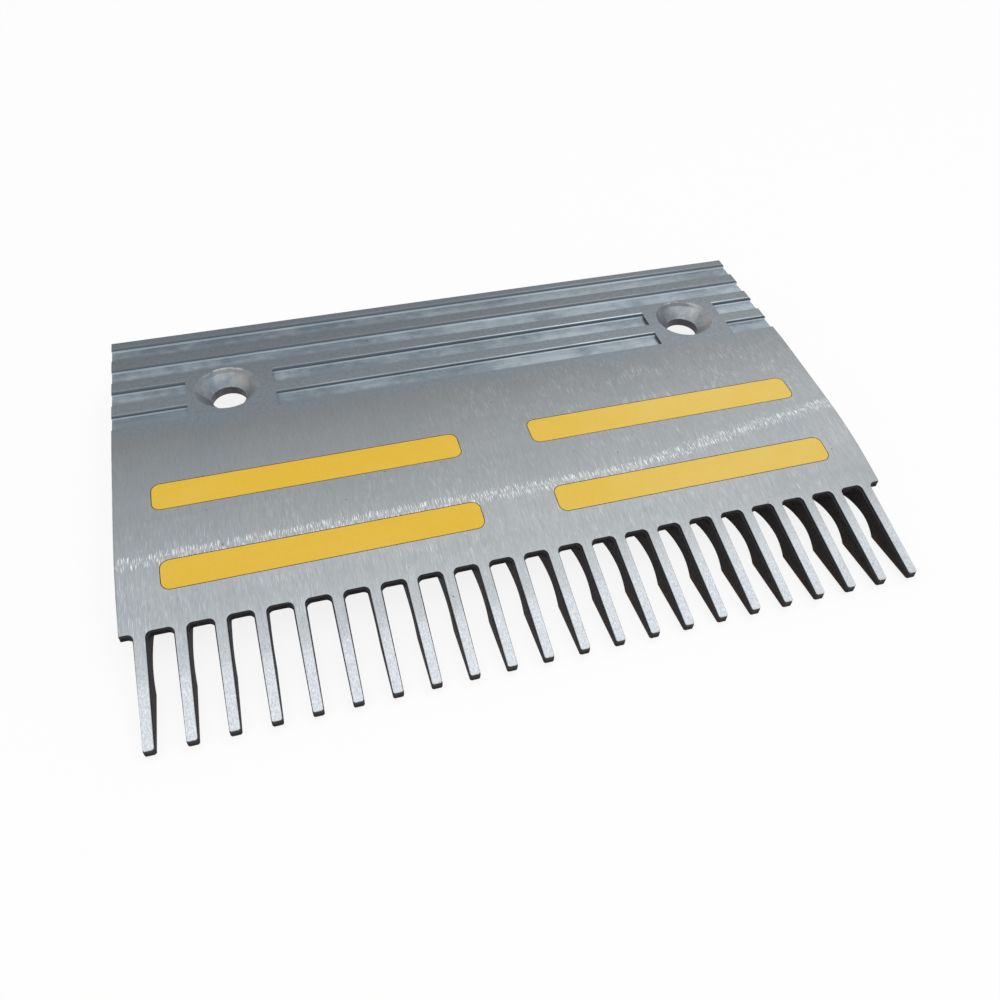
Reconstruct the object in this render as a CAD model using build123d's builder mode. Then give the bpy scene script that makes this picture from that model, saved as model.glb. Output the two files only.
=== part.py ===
from build123d import *
import os
from math import asin, atan, cos, degrees, radians, sin, tan

# Escalator comb plate: one die-cast aluminium comb with four yellow marking strips let into its
# top. X runs along the row of teeth, -Y points to their tips and +Z is up. The origin is the
# middle of the floor of the bounding box. Distances called "from the rear" are measured along
# the plate from its straight rear edge, and sizes are in millimetres.

# Teeth, on the cleat pitch of a standard step
tooth_count = 22
tooth_pitch = 9.068
tooth_length = 27.1
tip_height = 2.6
tip_corner_chamfer = 0.35
slot_corner_radius = 1.5

# Each tooth is a cap on a wider web, with a ledge on both sides, and the web narrows downwards
cap_root_width = 2.6
cap_tip_width = 2.35
cap_height = 1.0
web_root_width = 3.25
web_tip_width = 2.6
web_draft = 1.0
cap_edge_chamfer = 0.1
web_edge_chamfer = 0.35

# Lower edge of the teeth, from the root of the slots towards the tips
arch_from_root = 4.5
arch_depth = 5.9
belly_from_root = 11.3
belly_depth = 7.35

# Plate
plate_length = 103.3
seat_thickness = 6.5
root_thickness = 2.35
outer_edge_radius = 0.4

# Top surface: level, then a shallow ramp, then a nose that runs on into the teeth
crown_start = 43.0
crown_radius = 150.0
ramp_angle = 2.86
nose_to_roots = 29.3
nose_radius = 145.0
nose_angle = 12.5

# Underside: a shoulder across the plate, with ribs from it to the teeth
shoulder_to_roots = 17.3
shoulder_width = 3.0
rib_depth = 8.6
rib_foot_length = 12.0
web_slope_start = 6.0

# Tread grooves across the rear of the plate
groove_count = 4
groove_start = 3.75
groove_pitch = 10.03
groove_width = 5.0
groove_depth = 1.0
groove_edge_chamfer = 0.25
full_groove_count = 2

# Lands that interrupt the last grooves around the screw holes
screw_land_width = 24.4
screw_land_spacing = 141.0
screw_land_offset = 3.1

# Countersunk screw holes, for M8 screws
screw_spacing = 142.3
screw_offset = 2.6
screw_from_rear = 28.2
screw_hole_radius = 4.9
countersink_radius = 8.95
countersink_angle = 90.0

# Marking strips
strip_inner_end = 10.15
strip_thickness = 1.2
strip_corner_radius = 2.2
strip_clearance = 0.18
rear_strip_length = 80.1
rear_strip_width = 8.5
front_strip_length = 79.2
front_strip_width = 7.95
front_strip_to_roots = 13.14
strip_row_spacing = 24.1

# Room that a cutting tool has past the faces it opens
tool_overrun = 2.0

# How closely an edge or face lies where a selector looks for it
match_tolerance = 0.001

# Lengths and heights that follow from the sizes above
plate_width = tooth_count * tooth_pitch
overall_length = plate_length + tooth_length
rear_y = overall_length / 2
root_y = rear_y - plate_length
tip_y = -rear_y
ramp_rad = radians(ramp_angle)
nose_rad = radians(nose_angle)
nose_start = plate_length - nose_to_roots
crown_end = crown_start + crown_radius * sin(ramp_rad)
crown_drop = crown_radius * (1 - cos(ramp_rad))
nose_start_drop = crown_drop + (nose_start - crown_end) * tan(ramp_rad)
nose_end = nose_start + nose_radius * (sin(nose_rad) - sin(ramp_rad))
nose_end_drop = nose_start_drop + nose_radius * (cos(ramp_rad) - cos(nose_rad))


def drop_at(from_rear):
    """Depth of the top surface below the level rear, at a distance from the rear edge."""
    if from_rear <= crown_start:
        return 0.0
    if from_rear <= crown_end:
        return crown_radius - (crown_radius**2 - (from_rear - crown_start) ** 2) ** 0.5
    if from_rear <= nose_start:
        return crown_drop + (from_rear - crown_end) * tan(ramp_rad)
    if from_rear <= nose_end:
        slope = asin(sin(ramp_rad) + (from_rear - nose_start) / nose_radius)
        return nose_start_drop + nose_radius * (cos(ramp_rad) - cos(slope))
    return nose_end_drop + (from_rear - nose_end) * tan(nose_rad)


def slope_at(from_rear):
    """Slope of the top surface in degrees, at a distance from the rear edge."""
    step = 0.01
    return degrees(atan((drop_at(from_rear + step) - drop_at(from_rear - step)) / (2 * step)))


belly_from_rear = plate_length + belly_from_root
shoulder_from_rear = plate_length - shoulder_to_roots
arch_from_rear = plate_length + arch_from_root
front_strip_from_rear = plate_length - front_strip_to_roots
land_z = drop_at(belly_from_rear) + belly_depth
seat_z = land_z - seat_thickness
foot_z = seat_z - rib_depth
arch_z = land_z - drop_at(arch_from_rear) - arch_depth
root_underside_z = land_z - drop_at(plate_length) - root_thickness
tip_z = land_z - drop_at(overall_length)


def side_point(from_rear, z):
    """Point of a side view, which is drawn on the YZ plane."""
    return (rear_y - from_rear, z)


# Half widths of a gap, beside the caps and beside the webs
cap_half_root = (tooth_pitch - cap_root_width) / 2
cap_half_tip = (tooth_pitch - cap_tip_width) / 2
web_half_root = (tooth_pitch - web_root_width) / 2
web_half_tip = (tooth_pitch - web_tip_width) / 2
cutter_bottom = -tool_overrun
cutter_top = land_z + tool_overrun


def gap_section(from_rear, half_width, draft):
    """Section across a gap, where half_width is measured at the ledge under the tooth's cap."""
    ledge_z = land_z - drop_at(from_rear) - cap_height
    bottom_half = half_width + (ledge_z - cutter_bottom) * tan(radians(draft))
    top_half = half_width - (cutter_top - ledge_z) * tan(radians(draft))
    with BuildSketch(Plane.XZ.offset(from_rear - rear_y)) as section:
        with BuildLine():
            Polyline(
                (-bottom_half, cutter_bottom),
                (bottom_half, cutter_bottom),
                (top_half, cutter_top),
                (-top_half, cutter_top),
                close=True,
            )
        make_face()
    return section.sketch


def upright_edges_at(builder, y):
    """Edges of a cutter that run from its bottom to its top on one vertical plane."""
    return builder.edges().filter_by(
        lambda e: abs(e.center().Y - y) < match_tolerance and e.bounding_box().size.Z > land_z
    )


def gap_cutter(root_half, tip_half, draft):
    """Tool for one gap: it widens to the tips, with round root corners and a chamfered mouth."""
    mouth_width = tooth_pitch + 2 * tip_corner_chamfer
    root_section = gap_section(plate_length, root_half, draft)
    tip_section = gap_section(overall_length, tip_half, draft)
    with BuildPart() as cutter:
        loft([root_section, tip_section], ruled=True)
        fillet(upright_edges_at(cutter, root_y), slot_corner_radius)
        with BuildSketch(Plane.XZ.offset(-tip_y)):
            with Locations((0, (cutter_top + cutter_bottom) / 2)):
                Rectangle(mouth_width, cutter_top - cutter_bottom)
        extrude(amount=tool_overrun)
        mouth_edges = upright_edges_at(cutter, tip_y).filter_by(
            lambda e: abs(e.center().X) < tooth_pitch / 2
        )
        chamfer(mouth_edges, tip_corner_chamfer)
    return cutter.part


# A gap is cut twice: a drafted slot between the webs, and a wider one above the ledges
with BuildPart() as slot_cutter:
    add(gap_cutter(web_half_root, web_half_tip, web_draft))

with BuildPart() as cap_cutter:
    add(gap_cutter(cap_half_root, cap_half_tip, 0))
    ledge_plane = Plane(
        origin=(0, root_y, land_z - drop_at(plate_length) - cap_height),
        x_dir=(1, 0, 0),
        z_dir=(0, -sin(nose_rad), cos(nose_rad)),
    )
    split(bisect_by=ledge_plane, keep=Keep.TOP)

# Channel between two ribs under the plate, from the shoulder to the root of the slot
with BuildPart() as channel_cutter:
    channel_rear = shoulder_from_rear + shoulder_width
    channel_front = plate_length + slot_corner_radius
    channel_shift = Location((0, plate_length - channel_front, 0))
    channel_section = gap_section(plate_length, web_half_root, web_draft).moved(channel_shift)
    extrude(channel_section, amount=channel_front - channel_rear, dir=(0, 1, 0))
    with BuildSketch(Plane.YZ):
        with BuildLine():
            Polyline(
                side_point(channel_rear - tool_overrun, cutter_bottom),
                side_point(channel_rear - tool_overrun, seat_z),
                side_point(channel_rear + web_slope_start, seat_z),
                side_point(plate_length, root_underside_z),
                side_point(channel_front + tool_overrun, root_underside_z),
                side_point(channel_front + tool_overrun, cutter_bottom),
                close=True,
            )
        make_face()
    extrude(amount=tooth_pitch, both=True, mode=Mode.INTERSECT)

# Blank of the comb: one side profile across the full width, before the gaps are cut
with BuildPart() as blank:
    with BuildSketch(Plane.YZ):
        with BuildLine():
            level = Line(side_point(0, land_z), side_point(crown_start, land_z))
            crown = JernArc(level @ 1, level % 1, crown_radius, ramp_angle)
            ramp = Line(crown @ 1, side_point(nose_start, land_z - nose_start_drop))
            nose = JernArc(ramp @ 1, ramp % 1, nose_radius, nose_angle - ramp_angle)
            tooth_top = Line(nose @ 1, side_point(overall_length, tip_z))
            tip_face = Line(tooth_top @ 1, side_point(overall_length, tip_z - tip_height))
            belly = Line(tip_face @ 1, side_point(belly_from_rear, 0))
            arch_top = side_point(arch_from_rear, arch_z)
            foot_front = side_point(shoulder_from_rear + rib_foot_length, foot_z)
            TangentArc(arch_top, belly @ 1, tangent=(-1, 0))
            TangentArc(arch_top, foot_front, tangent=(1, 0))
            Polyline(
                foot_front,
                side_point(shoulder_from_rear, foot_z),
                side_point(shoulder_from_rear, seat_z),
                side_point(0, seat_z),
                side_point(0, land_z),
            )
        make_face()
    extrude(amount=plate_width / 2, both=True)
    top_faces = blank.faces().filter_by(lambda f: f.normal_at().Z > cos(nose_rad) - match_tolerance)
    side_limit = plate_width / 2 - match_tolerance
    rear_limit = rear_y - match_tolerance
    outer_edges = top_faces.edges().filter_by(
        lambda e: abs(e.center().X) > side_limit or e.center().Y > rear_limit
    )
    fillet(outer_edges, outer_edge_radius)


def strip_plane(from_rear):
    """Plane on the top surface at a distance from the rear, with its normal out of the plate."""
    lean = radians(slope_at(from_rear))
    return Plane(
        origin=(0, rear_y - from_rear, land_z - drop_at(from_rear)),
        x_dir=(1, 0, 0),
        z_dir=(0, -sin(lean), cos(lean)),
    )


def strip_outline(from_rear, side, length, width, clearance):
    """Plan of a marking strip, or of its pocket, on the strip's own plane."""
    strip_middle = strip_inner_end + length / 2
    with BuildSketch(strip_plane(from_rear).offset(-strip_thickness)) as outline:
        with Locations((side * strip_middle, 0)):
            RectangleRounded(
                length + 2 * clearance,
                width + 2 * clearance,
                strip_corner_radius + clearance,
            )
    return outline.sketch


rear_strip_from_rear = front_strip_from_rear - strip_row_spacing
strip_rows = {
    "rear": (rear_strip_from_rear, rear_strip_length, rear_strip_width),
    "front": (front_strip_from_rear, front_strip_length, front_strip_width),
}
sides = {"left": -1, "right": 1}

# Comb body
with BuildPart() as comb_body:
    add(blank.part)

    # Tread grooves: the section is cut across the full width, or in three runs past the holes
    left_land = screw_land_offset - screw_land_spacing / 2
    right_land = screw_land_offset + screw_land_spacing / 2
    past_edge = plate_width / 2 + tool_overrun
    for index in range(groove_count):
        groove_rear = groove_start + index * groove_pitch
        groove_front = groove_rear + groove_width
        with BuildSketch(Plane.YZ) as groove_section:
            with BuildLine():
                Polyline(
                    side_point(groove_rear - groove_edge_chamfer, land_z),
                    side_point(groove_rear, land_z - groove_edge_chamfer),
                    side_point(groove_rear, land_z - groove_depth),
                    side_point(groove_front, land_z - groove_depth),
                    side_point(groove_front, land_z - groove_edge_chamfer),
                    side_point(groove_front + groove_edge_chamfer, land_z),
                    side_point(groove_front + groove_edge_chamfer, land_z + tool_overrun),
                    side_point(groove_rear - groove_edge_chamfer, land_z + tool_overrun),
                    close=True,
                )
            make_face()
        if index < full_groove_count:
            runs = [(-past_edge, past_edge)]
        else:
            runs = [
                (-past_edge, left_land - screw_land_width / 2),
                (left_land + screw_land_width / 2, right_land - screw_land_width / 2),
                (right_land + screw_land_width / 2, past_edge),
            ]
        for run_start, run_end in runs:
            section = groove_section.sketch.moved(Location((run_start, 0, 0)))
            extrude(section, amount=run_end - run_start, mode=Mode.SUBTRACT)

    # Screw holes
    screw_places = [
        (screw_offset + side * screw_spacing / 2, rear_y - screw_from_rear, land_z)
        for side in sides.values()
    ]
    with Locations(*screw_places):
        CounterSinkHole(
            screw_hole_radius, countersink_radius, seat_thickness, countersink_angle
        )

    # Pockets for the marking strips
    for from_rear, length, width in strip_rows.values():
        for side in sides.values():
            pocket = strip_outline(from_rear, side, length, width, strip_clearance)
            extrude(pocket, amount=strip_thickness + tool_overrun, mode=Mode.SUBTRACT)

    # Gaps between the teeth, with half a gap at each end of the row
    gap_places = [((index - tooth_count / 2) * tooth_pitch, 0) for index in range(tooth_count + 1)]
    with Locations(*gap_places):
        add(slot_cutter.part, mode=Mode.SUBTRACT)
        add(cap_cutter.part, mode=Mode.SUBTRACT)
        add(channel_cutter.part, mode=Mode.SUBTRACT)

    # Eased edges round the tops of the teeth and the roots of the gaps
    slope_tops = comb_body.faces().filter_by(
        lambda f: abs(f.normal_at().Z - cos(nose_rad)) < match_tolerance and f.center().Z > arch_z
    )
    inner_half_width = plate_width / 2 - outer_edge_radius
    top_edges = slope_tops.sort_by(SortBy.AREA)[-1].edges().filter_by(
        lambda e: e.center().Y < root_y + match_tolerance and abs(e.center().X) < inner_half_width
    )
    chamfer(top_edges, cap_edge_chamfer)

    # Chamfered lower edges, along the arch and the belly of each tooth and round its tip
    arch_start_y = rear_y - shoulder_from_rear - rib_foot_length
    under_faces = comb_body.faces().filter_by(
        lambda f: f.normal_at().Z < -0.5 and f.center().Z < arch_z and f.center().Y < arch_start_y
    )
    under_edges = under_faces.edges().filter_by(
        lambda e: e.bounding_box().size.X < web_tip_width / 2 or e.center().Y < tip_y + match_tolerance
    )
    chamfer(under_edges, web_edge_chamfer)

comb_body.part.label = "comb_body"

os.makedirs("parts", exist_ok=True)
export_step(comb_body.part, "parts/comb_body.step")

# Marking strips, each cut to the curve of the plate's own top surface
for row, (from_rear, length, width) in strip_rows.items():
    for side_name, side in sides.items():
        with BuildPart() as strip:
            outline = strip_outline(from_rear, side, length, width, 0)
            extrude(outline, amount=strip_thickness + tool_overrun)
            add(blank.part, mode=Mode.INTERSECT)
        strip.part.label = f"strip_{row}_{side_name}"
        export_step(strip.part, f"parts/strip_{row}_{side_name}.step")
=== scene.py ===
"""Looks of the escalator comb plate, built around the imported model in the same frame."""

import logging
from dataclasses import dataclass, field
from enum import Enum
from math import cos, pi, radians, sin, tan

import bpy
from mathutils import Matrix, Vector


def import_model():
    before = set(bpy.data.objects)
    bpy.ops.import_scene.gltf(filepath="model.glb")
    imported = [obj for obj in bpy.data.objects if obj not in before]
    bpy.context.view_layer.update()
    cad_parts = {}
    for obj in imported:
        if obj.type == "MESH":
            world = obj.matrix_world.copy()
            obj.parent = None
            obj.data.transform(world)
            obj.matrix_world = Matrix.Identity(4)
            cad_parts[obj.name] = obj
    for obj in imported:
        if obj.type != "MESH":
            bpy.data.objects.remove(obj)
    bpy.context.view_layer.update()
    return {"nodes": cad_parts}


log = logging.getLogger("comb_plate")

Socket = bpy.types.NodeSocket
Colour = tuple[float, float, float]
Point = tuple[float, float, float]
# Where a result is 0 and where it is 1, whichever of them is larger
Edge = tuple[float, float]
# Start and end of a window, and the width of its soft edges
Window = tuple[float, float, float]
Pair = tuple[float, float]

WHITE: Colour = (1.0, 1.0, 1.0)
MILLIMETRES_IN_METRE = 1000.0
MIDDLE_OF_NOISE = 0.5
# Inputs of a Mix node: the factor and the two values, for colours and for numbers
COLOUR_INPUTS = (0, 6, 7)
NUMBER_INPUTS = (0, 2, 3)
COLOUR_OUTPUT = 2


class Side(Enum):
    """Which half of the plate a marking strip lies on."""

    LEFT = "left"
    RIGHT = "right"


class Row(Enum):
    """Which row a marking strip belongs to."""

    REAR = "rear"
    FRONT = "front"


@dataclass(frozen=True)
class Grain:
    """A cloudy pattern, with its repeats per millimetre along each axis."""

    scale: Point
    shift: Point = (0.0, 0.0, 0.0)
    detail: float = 2.0
    roughness: float = 0.5
    distortion: float = 0.0


@dataclass(frozen=True)
class Ramp:
    """A straight run of results, from start at low to end at high."""

    low: float
    high: float
    start: float = 0.0
    end: float = 1.0


@dataclass(frozen=True)
class CombPlan:
    """Places of the comb's features, in millimetres, as the solid model has them."""

    rear_y: float = 65.2
    land_z: float = 15.615
    half_width: float = 99.75
    groove_start: float = 3.75
    groove_pitch: float = 10.03
    groove_depth: float = 1.0
    land_x: Pair = (-67.4, 73.6)
    land_half_width: float = 12.2
    crown_start: float = 43.0
    nose_plane_start: float = 98.15
    nose_plane_drop: float = 4.618
    nose_angle: float = 12.5
    screw_x: Pair = (-68.55, 73.75)
    screw_y: float = 37.0
    countersink_radius: float = 8.95


def past(place: float, edge: Edge) -> Edge:
    """Measure an edge from a place of the plan, outwards or to the front."""
    return place + edge[0], place + edge[1]


def below(place: float, edge: Edge) -> Edge:
    """Measure an edge from a place of the plan, downwards or inwards."""
    return place - edge[0], place - edge[1]


class NodeBench:
    """Lays out and links the nodes of one material or world."""

    def __init__(self, owner: bpy.types.Material | bpy.types.World) -> None:
        """Empty the tree of a material or world.

        Args:
            owner: What the nodes belong to.
        """
        owner.use_nodes = True
        self.tree = owner.node_tree
        self.tree.nodes.clear()

    def node(self, kind: str, **settings: object) -> bpy.types.Node:
        """Add one node.

        Args:
            kind: Blender's identifier of the node.
            settings: Properties that are set on it.

        Returns:
            The new node.
        """
        made = self.tree.nodes.new(kind)
        for key, value in settings.items():
            setattr(made, key, value)
        return made

    def feed(self, socket: Socket, value: object) -> None:
        """Link a socket to an input, or write a plain value on it.

        Args:
            socket: The input.
            value: A socket, a number or a colour.
        """
        if isinstance(value, bpy.types.NodeSocket):
            self.tree.links.new(value, socket)
        elif isinstance(value, tuple) and socket.type == "RGBA":
            socket.default_value = (*value, 1.0)
        else:
            socket.default_value = value

    def math(
        self, operation: str, first: object, second: object = 0.0, third: object = 0.0
    ) -> Socket:
        """Add a Math node.

        Args:
            operation: The sum that it does.
            first: First input.
            second: Second input.
            third: Third input.

        Returns:
            Its result.
        """
        made = self.node("ShaderNodeMath", operation=operation)
        for socket, value in zip(made.inputs, (first, second, third)):
            self.feed(socket, value)
        return made.outputs[0]

    def times(self, first: object, *others: object) -> Socket:
        """Multiply numbers."""
        for other in others:
            first = self.math("MULTIPLY", first, other)
        return first

    def plus(self, first: object, *others: object) -> Socket:
        """Add numbers."""
        for other in others:
            first = self.math("ADD", first, other)
        return first

    def minus(self, first: object, second: object) -> Socket:
        """Take the second number from the first."""
        return self.math("SUBTRACT", first, second)

    def inverse(self, value: object) -> Socket:
        """Take a number from one."""
        return self.minus(1.0, value)

    def apart(self, first: object, second: object) -> Socket:
        """Give the distance between two numbers."""
        return self.math("ABSOLUTE", self.minus(first, second))

    def most(self, first: object, *others: object) -> Socket:
        """Give the largest number."""
        for other in others:
            first = self.math("MAXIMUM", first, other)
        return first

    def shared(self, values: tuple[Socket, ...], shares: tuple[float, ...]) -> Socket:
        """Add numbers by their shares.

        Args:
            values: The numbers.
            shares: What each one is multiplied by.

        Returns:
            The sum.
        """
        return self.plus(*(self.times(value, share) for value, share in zip(values, shares)))

    def step(self, value: object, edge: Edge) -> Socket:
        """Ease from 0 to 1 over an edge.

        Args:
            value: The number to judge.
            edge: Where the result is 0, and where it is 1.

        Returns:
            A number from 0 to 1.
        """
        falling = edge[0] > edge[1]
        made = self.node("ShaderNodeMapRange", interpolation_type="SMOOTHSTEP")
        self.feed(made.inputs["Value"], value)
        made.inputs["From Min"].default_value = min(edge)
        made.inputs["From Max"].default_value = max(edge)
        made.inputs["To Min"].default_value = 1.0 if falling else 0.0
        made.inputs["To Max"].default_value = 0.0 if falling else 1.0
        return made.outputs["Result"]

    def ramp(self, value: object, ramp: Ramp) -> Socket:
        """Carry a number along a ramp, and hold it past the ramp's ends.

        Args:
            value: The number.
            ramp: The ramp.

        Returns:
            The carried number.
        """
        made = self.node("ShaderNodeMapRange", clamp=True)
        self.feed(made.inputs["Value"], value)
        made.inputs["From Min"].default_value = ramp.low
        made.inputs["From Max"].default_value = ramp.high
        made.inputs["To Min"].default_value = ramp.start
        made.inputs["To Max"].default_value = ramp.end
        return made.outputs["Result"]

    def window(self, value: object, window: Window) -> Socket:
        """Give 1 within a window and 0 outside it.

        Args:
            value: The number to judge.
            window: The window.

        Returns:
            A number from 0 to 1.
        """
        low, high, soft = window
        rise = self.step(value, (low - soft / 2, low + soft / 2))
        fall = self.step(value, (high + soft / 2, high - soft / 2))
        return self.times(rise, fall)

    def tint(self, factor: object, first: object, second: object, blend: str = "MIX") -> Socket:
        """Mix two colours.

        Args:
            factor: How much of the second colour.
            first: First colour.
            second: Second colour.
            blend: How they mix.

        Returns:
            The mixed colour.
        """
        made = self.node("ShaderNodeMix", data_type="RGBA", blend_type=blend, clamp_result=True)
        for index, value in zip(COLOUR_INPUTS, (factor, first, second)):
            self.feed(made.inputs[index], value)
        return made.outputs[COLOUR_OUTPUT]

    def blend(self, factor: object, first: object, second: object) -> Socket:
        """Mix two numbers.

        Args:
            factor: How much of the second number.
            first: First number.
            second: Second number.

        Returns:
            The mixed number.
        """
        made = self.node("ShaderNodeMix", data_type="FLOAT")
        for index, value in zip(NUMBER_INPUTS, (factor, first, second)):
            self.feed(made.inputs[index], value)
        return made.outputs[0]

    def scaled(self, vector: Socket, factor: object) -> Socket:
        """Multiply all parts of a colour or a place.

        Args:
            vector: The colour or place.
            factor: What its parts are multiplied by.

        Returns:
            The new colour or place.
        """
        made = self.node("ShaderNodeVectorMath", operation="SCALE")
        self.feed(made.inputs[0], vector)
        self.feed(made.inputs["Scale"], factor)
        return made.outputs[0]

    def stretched(self, place: Socket, scale: Point, shift: Point = (0.0, 0.0, 0.0)) -> Socket:
        """Scale the coordinates of a pattern.

        Args:
            place: Coordinates in millimetres.
            scale: Repeats per millimetre along each axis.
            shift: Where the pattern starts.

        Returns:
            Coordinates for a texture of scale 1.
        """
        made = self.node("ShaderNodeMapping")
        self.feed(made.inputs["Vector"], place)
        made.inputs["Scale"].default_value = scale
        made.inputs["Location"].default_value = shift
        return made.outputs["Vector"]

    def noise(self, place: Socket, grain: Grain) -> Socket:
        """Add a cloudy pattern.

        Args:
            place: Coordinates in millimetres.
            grain: The pattern.

        Returns:
            A number around 0.5.
        """
        made = self.node("ShaderNodeTexNoise")
        self.feed(made.inputs["Vector"], self.stretched(place, grain.scale, grain.shift))
        made.inputs["Scale"].default_value = 1.0
        made.inputs["Detail"].default_value = grain.detail
        made.inputs["Roughness"].default_value = grain.roughness
        made.inputs["Distortion"].default_value = grain.distortion
        return made.outputs[0]

    def cells(self, place: Socket, scale: float) -> tuple[Socket, Socket]:
        """Add a pattern of scattered points.

        Args:
            place: Coordinates in millimetres.
            scale: Points per millimetre.

        Returns:
            The distance to the nearest point, and a random number of that point.
        """
        made = self.node("ShaderNodeTexVoronoi")
        self.feed(made.inputs["Vector"], self.stretched(place, (scale, scale, scale)))
        made.inputs["Scale"].default_value = 1.0
        made.inputs["Randomness"].default_value = 1.0
        chance = self.node("ShaderNodeSeparateColor")
        self.feed(chance.inputs[0], made.outputs["Color"])
        return made.outputs["Distance"], chance.outputs[0]

    def bump(self, height: Socket, distance: float, strength: float) -> Socket:
        """Raise the surface's shading by a height.

        Args:
            height: Height from 0 to 1.
            distance: What a height of 1 is, in metres.
            strength: How much of it shows.

        Returns:
            The new normal.
        """
        made = self.node("ShaderNodeBump")
        made.inputs["Strength"].default_value = strength
        made.inputs["Distance"].default_value = distance
        self.feed(made.inputs["Height"], height)
        return made.outputs["Normal"]

    def surface(
        self, colour: Socket, rough: Socket, metallic: object, gloss: float, normal: Socket
    ) -> None:
        """Close a material with one shader.

        Args:
            colour: Its colour.
            rough: Its roughness.
            metallic: How much of it is bare metal.
            gloss: Strength of its clear reflection.
            normal: Its normal.
        """
        shader = self.node("ShaderNodeBsdfPrincipled")
        self.feed(shader.inputs["Base Color"], colour)
        self.feed(shader.inputs["Roughness"], rough)
        self.feed(shader.inputs["Metallic"], metallic)
        self.feed(shader.inputs["Specular IOR Level"], gloss)
        self.feed(shader.inputs["Normal"], normal)
        output = self.node("ShaderNodeOutputMaterial")
        self.feed(output.inputs["Surface"], shader.outputs[0])


@dataclass
class SurfacePlace:
    """A point of a surface, in millimetres, and the way that it faces."""

    bench: NodeBench
    spot: Socket = field(init=False)
    x: Socket = field(init=False)
    y: Socket = field(init=False)
    z: Socket = field(init=False)
    facing_x: Socket = field(init=False)
    facing_y: Socket = field(init=False)
    facing_z: Socket = field(init=False)

    def __post_init__(self) -> None:
        """Read the coordinates and the normal."""
        bench = self.bench
        source = bench.node("ShaderNodeTexCoord")
        self.spot = bench.scaled(source.outputs["Object"], MILLIMETRES_IN_METRE)
        place = bench.node("ShaderNodeSeparateXYZ")
        bench.feed(place.inputs[0], self.spot)
        self.x, self.y, self.z = place.outputs
        way = bench.node("ShaderNodeSeparateXYZ")
        bench.feed(way.inputs[0], source.outputs["Normal"])
        self.facing_x, self.facing_y, self.facing_z = way.outputs

    def grain(self, grain: Grain) -> Socket:
        """Give a cloudy pattern at this place."""
        return self.bench.noise(self.spot, grain)

    def from_axis(self, x: float, y: float) -> Socket:
        """Give the distance from an upright axis.

        Args:
            x: Place of the axis along the teeth's row.
            y: Place of the axis from rear to tips.

        Returns:
            The distance in millimetres.
        """
        bench = self.bench
        across = bench.minus(self.x, x)
        along = bench.minus(self.y, y)
        squares = bench.plus(bench.times(across, across), bench.times(along, along))
        return bench.math("SQRT", squares)


@dataclass
class CombPlace(SurfacePlace):
    """A point of the comb, and how much it belongs to each of its zones."""

    plan: CombPlan = CombPlan()
    level_edge: Edge = (0.84, 0.95)
    down_edge: Edge = (-0.25, -0.6)
    rear_fade: Edge = (3.0, -4.0)
    nose_fade: Edge = (0.0, 1.0)
    from_rear: Socket = field(init=False)
    below_slope: Socket = field(init=False)
    level: Socket = field(init=False)
    down: Socket = field(init=False)
    rear: Socket = field(init=False)
    nose: Socket = field(init=False)

    def __post_init__(self) -> None:
        """Read the place, and work out the zones.

        The slope is the plane of the teeth's tops, which runs on from the nose.
        """
        super().__post_init__()
        bench, plan = self.bench, self.plan
        self.from_rear = bench.minus(plan.rear_y, self.y)
        slope_z = bench.math(
            "MULTIPLY_ADD",
            bench.minus(self.from_rear, plan.nose_plane_start),
            -tan(radians(plan.nose_angle)),
            plan.land_z - plan.nose_plane_drop,
        )
        self.below_slope = bench.minus(slope_z, self.z)
        self.level = bench.step(self.facing_z, self.level_edge)
        self.down = bench.step(self.facing_z, self.down_edge)
        self.rear = bench.step(self.from_rear, past(plan.crown_start, self.rear_fade))
        self.nose = bench.step(self.from_rear, past(plan.nose_plane_start, self.nose_fade))


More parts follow.
